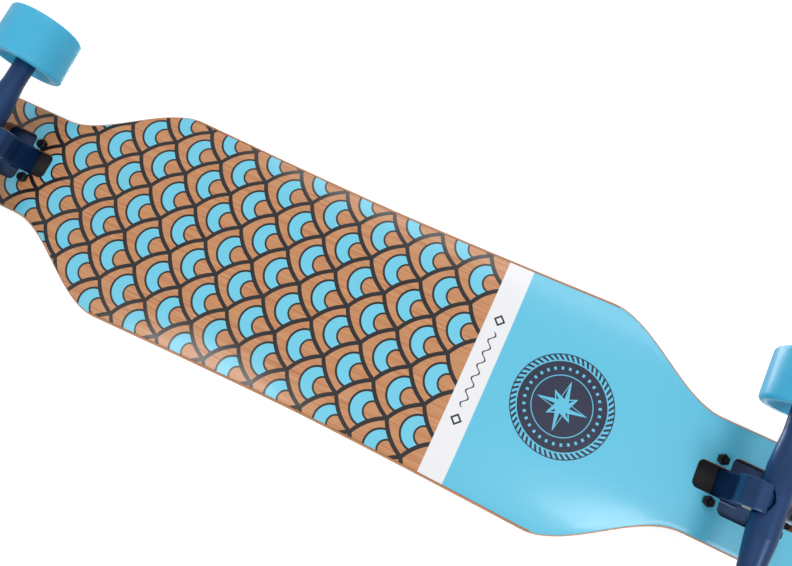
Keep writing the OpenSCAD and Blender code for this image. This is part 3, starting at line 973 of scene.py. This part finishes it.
@dataclass
class LockNut:
    """A hexagonal nut with chamfered corners and a soft locking ring."""

    across: float
    height: float
    hole: float
    chamfer: float = 0.0006

    def mesh(self) -> bmesh.types.BMesh:
        """Makes the nut with its seat at the origin and its ring towards +Z."""
        mesh = bmesh.new()
        radius = self.across / 2 / math.cos(math.pi / 6)
        body = self.height * 0.8
        bmesh.ops.create_cone(
            mesh, cap_ends=True, segments=6, radius1=radius, radius2=radius, depth=body
        )
        bmesh.ops.translate(mesh, vec=(0, 0, body / 2), verts=mesh.verts)
        bmesh.ops.bevel(
            mesh, geom=mesh.edges[:], offset=self.across * 0.05, segments=2, affect="EDGES",
            profile=0.5, material=-1,
        )
        caps = [f for f in mesh.faces if abs(f.normal.z) > 0.99]
        bmesh.ops.inset_region(mesh, faces=caps, thickness=self.across * 0.06)
        self._collar(mesh, body)
        return mesh

    def _collar(self, mesh: bmesh.types.BMesh, body: float) -> None:
        """Adds the round collar that holds the locking ring."""
        outer = self.across * 0.46
        base = body * 0.9
        edge = self.height - self.chamfer
        section = [
            (self.hole, base), (outer, base), (outer, edge), (outer - self.chamfer, self.height),
            (self.hole + self.chamfer, self.height), (self.hole, edge),
        ]
        verts = [mesh.verts.new((r, 0, z)) for r, z in section]
        edges = [mesh.edges.new((a, b)) for a, b in zip(verts, verts[1:] + verts[:1])]
        bmesh.ops.spin(
            mesh, geom=verts + edges, axis=(0, 0, 1), cent=(0, 0, 0), angle=2 * math.pi,
            steps=32, use_merge=True,
        )
        bmesh.ops.recalc_face_normals(mesh, faces=mesh.faces)


@dataclass
class Truck:
    """One truck: castings, lock nuts and their finishes."""

    end: int
    nodes: dict[str, bpy.types.Object]
    materials: dict[Slot, bpy.types.Material]
    axle_x: float = 0.409
    bolt_x: float = 0.00575
    bolt_pitch: tuple[float, float] = (0.0635, 0.0413)
    deck_underside: float = 0.081

    def name(self) -> str:
        """Gives the name that the truck's nodes start with."""
        return "front" if self.end > 0 else "rear"

    def build(self) -> None:
        """Makes the castings and the nuts."""
        paint = self.materials[Slot.TRUCK]
        for part, body in (("hanger", self.name() + "_steering"), ("baseplate", "root")):
            node = f"{self.name()}_{part}"
            Casting(node, body, self.nodes[node], paint).build()
        self._mounting_nuts()

    def _mounting_nuts(self) -> None:
        """Makes the four lock nuts under the deck as one piece."""
        whole = bmesh.new()
        for sx in (-1, 1):
            for sy in (-1, 1):
                nut = LockNut(0.0096, 0.0055, 0.0024).mesh()
                bmesh.ops.rotate(nut, matrix=Matrix.Rotation(math.pi, 3, "X"), verts=nut.verts)
                x = self.end * (self.axle_x + self.bolt_x + sx * self.bolt_pitch[0] / 2)
                spot = (x, sy * self.bolt_pitch[1] / 2, self.deck_underside)
                bmesh.ops.translate(nut, vec=spot, verts=nut.verts)
                data = bpy.data.meshes.new("nut")
                nut.to_mesh(data)
                nut.free()
                whole.from_mesh(data)
                bpy.data.meshes.remove(data)
        piece = finish_mesh(self.name() + "_lock_nuts", whole, [self.materials[Slot.BLACK]], 30)
        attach(piece, "root")
        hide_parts(self.name() + "_mounting_nuts")


@dataclass
class Studio:
    """Camera, soft lights, a white sheet above the deck and a pale floor under the wheels."""

    camera_at: Vector = field(default_factory=lambda: Vector((0.0959, 0.0434, -0.4821)))
    looks_at: Vector = field(default_factory=lambda: Vector((0.0321, -0.0440, 0.081)))
    roll: float = math.radians(-154.43)
    lens: float = 25.64
    sheet_z: float = 0.125

    def build(self) -> None:
        """Makes everything that isn't part of the board."""
        self._camera()
        self._world()
        self._stage_plane("white sheet", self.sheet_z, False, srgb(250, 250, 252))
        self._stage_plane("floor", -0.0005, True, srgb(236, 236, 238))
        self._area("key below", (-0.62, 0.9, -1.2), (0, 0, 0.08), (0.5, 0.5), 4.0)
        self._area("fill below", (0.95, 0.5, -1.25), (0, 0, 0.08), (0.5, 0.5), 6.0)
        self._area("wash below", (0.1, -1.3, -1.3), (0, 0, 0.08), (2.0, 0.6), 9.0)
        self._area("key above", (-0.9, -1.1, 1.6), (0, 0, 0.05), (1.2, 1.2), 26.0)
        self._area("rim above", (1.2, 1.0, 1.2), (0, 0, 0.05), (0.9, 0.9), 14.0)

    def _camera(self) -> None:
        """Makes the camera from its place, its target and its roll."""
        data = bpy.data.cameras.new("camera")
        data.lens = self.lens
        data.sensor_width = 36.0
        data.clip_start = 0.01
        camera = bpy.data.objects.new("camera", data)
        bpy.context.scene.collection.objects.link(camera)
        back = (self.camera_at - self.looks_at).normalized()
        level = Vector((0, 1, 0)).cross(back).normalized()
        upright = back.cross(level)
        right = level * math.cos(self.roll) + upright * math.sin(self.roll)
        up = upright * math.cos(self.roll) - level * math.sin(self.roll)
        turn = Matrix((right, up, back)).transposed().to_4x4()
        camera.matrix_world = Matrix.Translation(self.camera_at) @ turn
        bpy.context.scene.camera = camera

    def _world(self) -> None:
        """Lights the scene evenly from all round."""
        world = bpy.data.worlds.new("studio")
        world.use_nodes = True
        backdrop = world.node_tree.nodes["Background"]
        backdrop.inputs["Color"].default_value = (0.96, 0.98, 1.0, 1.0)
        backdrop.inputs["Strength"].default_value = 0.62
        bpy.context.scene.world = world
        bpy.context.scene.view_settings.view_transform = "Standard"

    def _stage_plane(self, name: str, z: float, seen_from_above: bool, color: Color) -> None:
        """Makes a wide plane that shows on one side only."""
        mesh = bmesh.new()
        bmesh.ops.create_grid(mesh, x_segments=1, y_segments=1, size=40.0)
        bmesh.ops.translate(mesh, vec=(0, 0, z), verts=mesh.verts)
        material = bpy.data.materials.new(name)
        material.use_nodes = True
        g = Graph(material.node_tree)
        shader = material.node_tree.nodes["Principled BSDF"]
        shader.inputs["Base Color"].default_value = (*color, 1.0)
        shader.inputs["Roughness"].default_value = 0.9
        shader.inputs["Emission Color"].default_value = (*color, 1.0)
        shader.inputs["Emission Strength"].default_value = 0.6
        clear = g.add("BsdfTransparent")
        mix = g.add("MixShader")
        facing = g.add("NewGeometry").outputs["Backfacing"]
        g.feed(mix.inputs[0], facing if seen_from_above else g.math("SUBTRACT", 1.0, facing))
        g.feed(mix.inputs[1], shader.outputs[0])
        g.feed(mix.inputs[2], clear.outputs[0])
        out = material.node_tree.nodes["Material Output"]
        g.feed(out.inputs["Surface"], mix.outputs[0])
        plane = finish_mesh(name.replace(" ", "_"), mesh, [material])
        plane.visible_shadow = False
        plane.visible_diffuse = False
        plane.visible_glossy = False

    def _area(
        self,
        name: str,
        at: Sequence[float],
        aim: Sequence[float],
        size: tuple[float, float],
        power: float,
    ) -> None:
        """Adds a softbox whose longer side lies level."""
        data = bpy.data.lights.new(name, "AREA")
        data.shape = "RECTANGLE"
        data.size, data.size_y = size
        data.energy = power
        lamp = bpy.data.objects.new(name, data)
        lamp.location = at
        lamp.rotation_euler = (Vector(aim) - Vector(at)).to_track_quat("-Z", "Y").to_euler()
        bpy.context.scene.collection.objects.link(lamp)


@dataclass
class Longboard:
    """The whole board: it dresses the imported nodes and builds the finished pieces."""

    frame: dict
    groups: Groups = field(default_factory=Groups)

    def build(self) -> None:
        """Makes the finishes, dresses the nodes and builds each sub-assembly."""
        finishes = {slot: finish.material(self.groups) for slot, finish in FINISHES.items()}
        self._dress(finishes)
        look = DeckFinish()
        materials = {
            "print": look.print_material(self.groups),
            "edge": look.edge_material(self.groups),
            "grip": look.grip_material(),
        }
        Deck(materials).build()
        for end in (1, -1):
            Truck(end, self.frame["nodes"], finishes).build()
            for side in (1, -1):
                Wheel(end, side, finishes[Slot.TYRE]).build()

    def _dress(self, finishes: dict[Slot, bpy.types.Material]) -> None:
        """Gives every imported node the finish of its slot."""
        by_name = {slot.value: material for slot, material in finishes.items()}
        for part in self.frame["record"]["subparts"]:
            material = by_name.get(part["material_slot"])
            node = self.frame["nodes"].get(part["node"])
            if material is None or node is None:
                continue
            for holder in node.material_slots:
                holder.material = material


def main() -> None:
    """Builds the board in its studio."""
    logging.basicConfig(level=logging.INFO, format="%(name)s: %(message)s")
    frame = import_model()
    Studio().build()
    Longboard(frame).build()


if __name__ == "__main__":
    main()
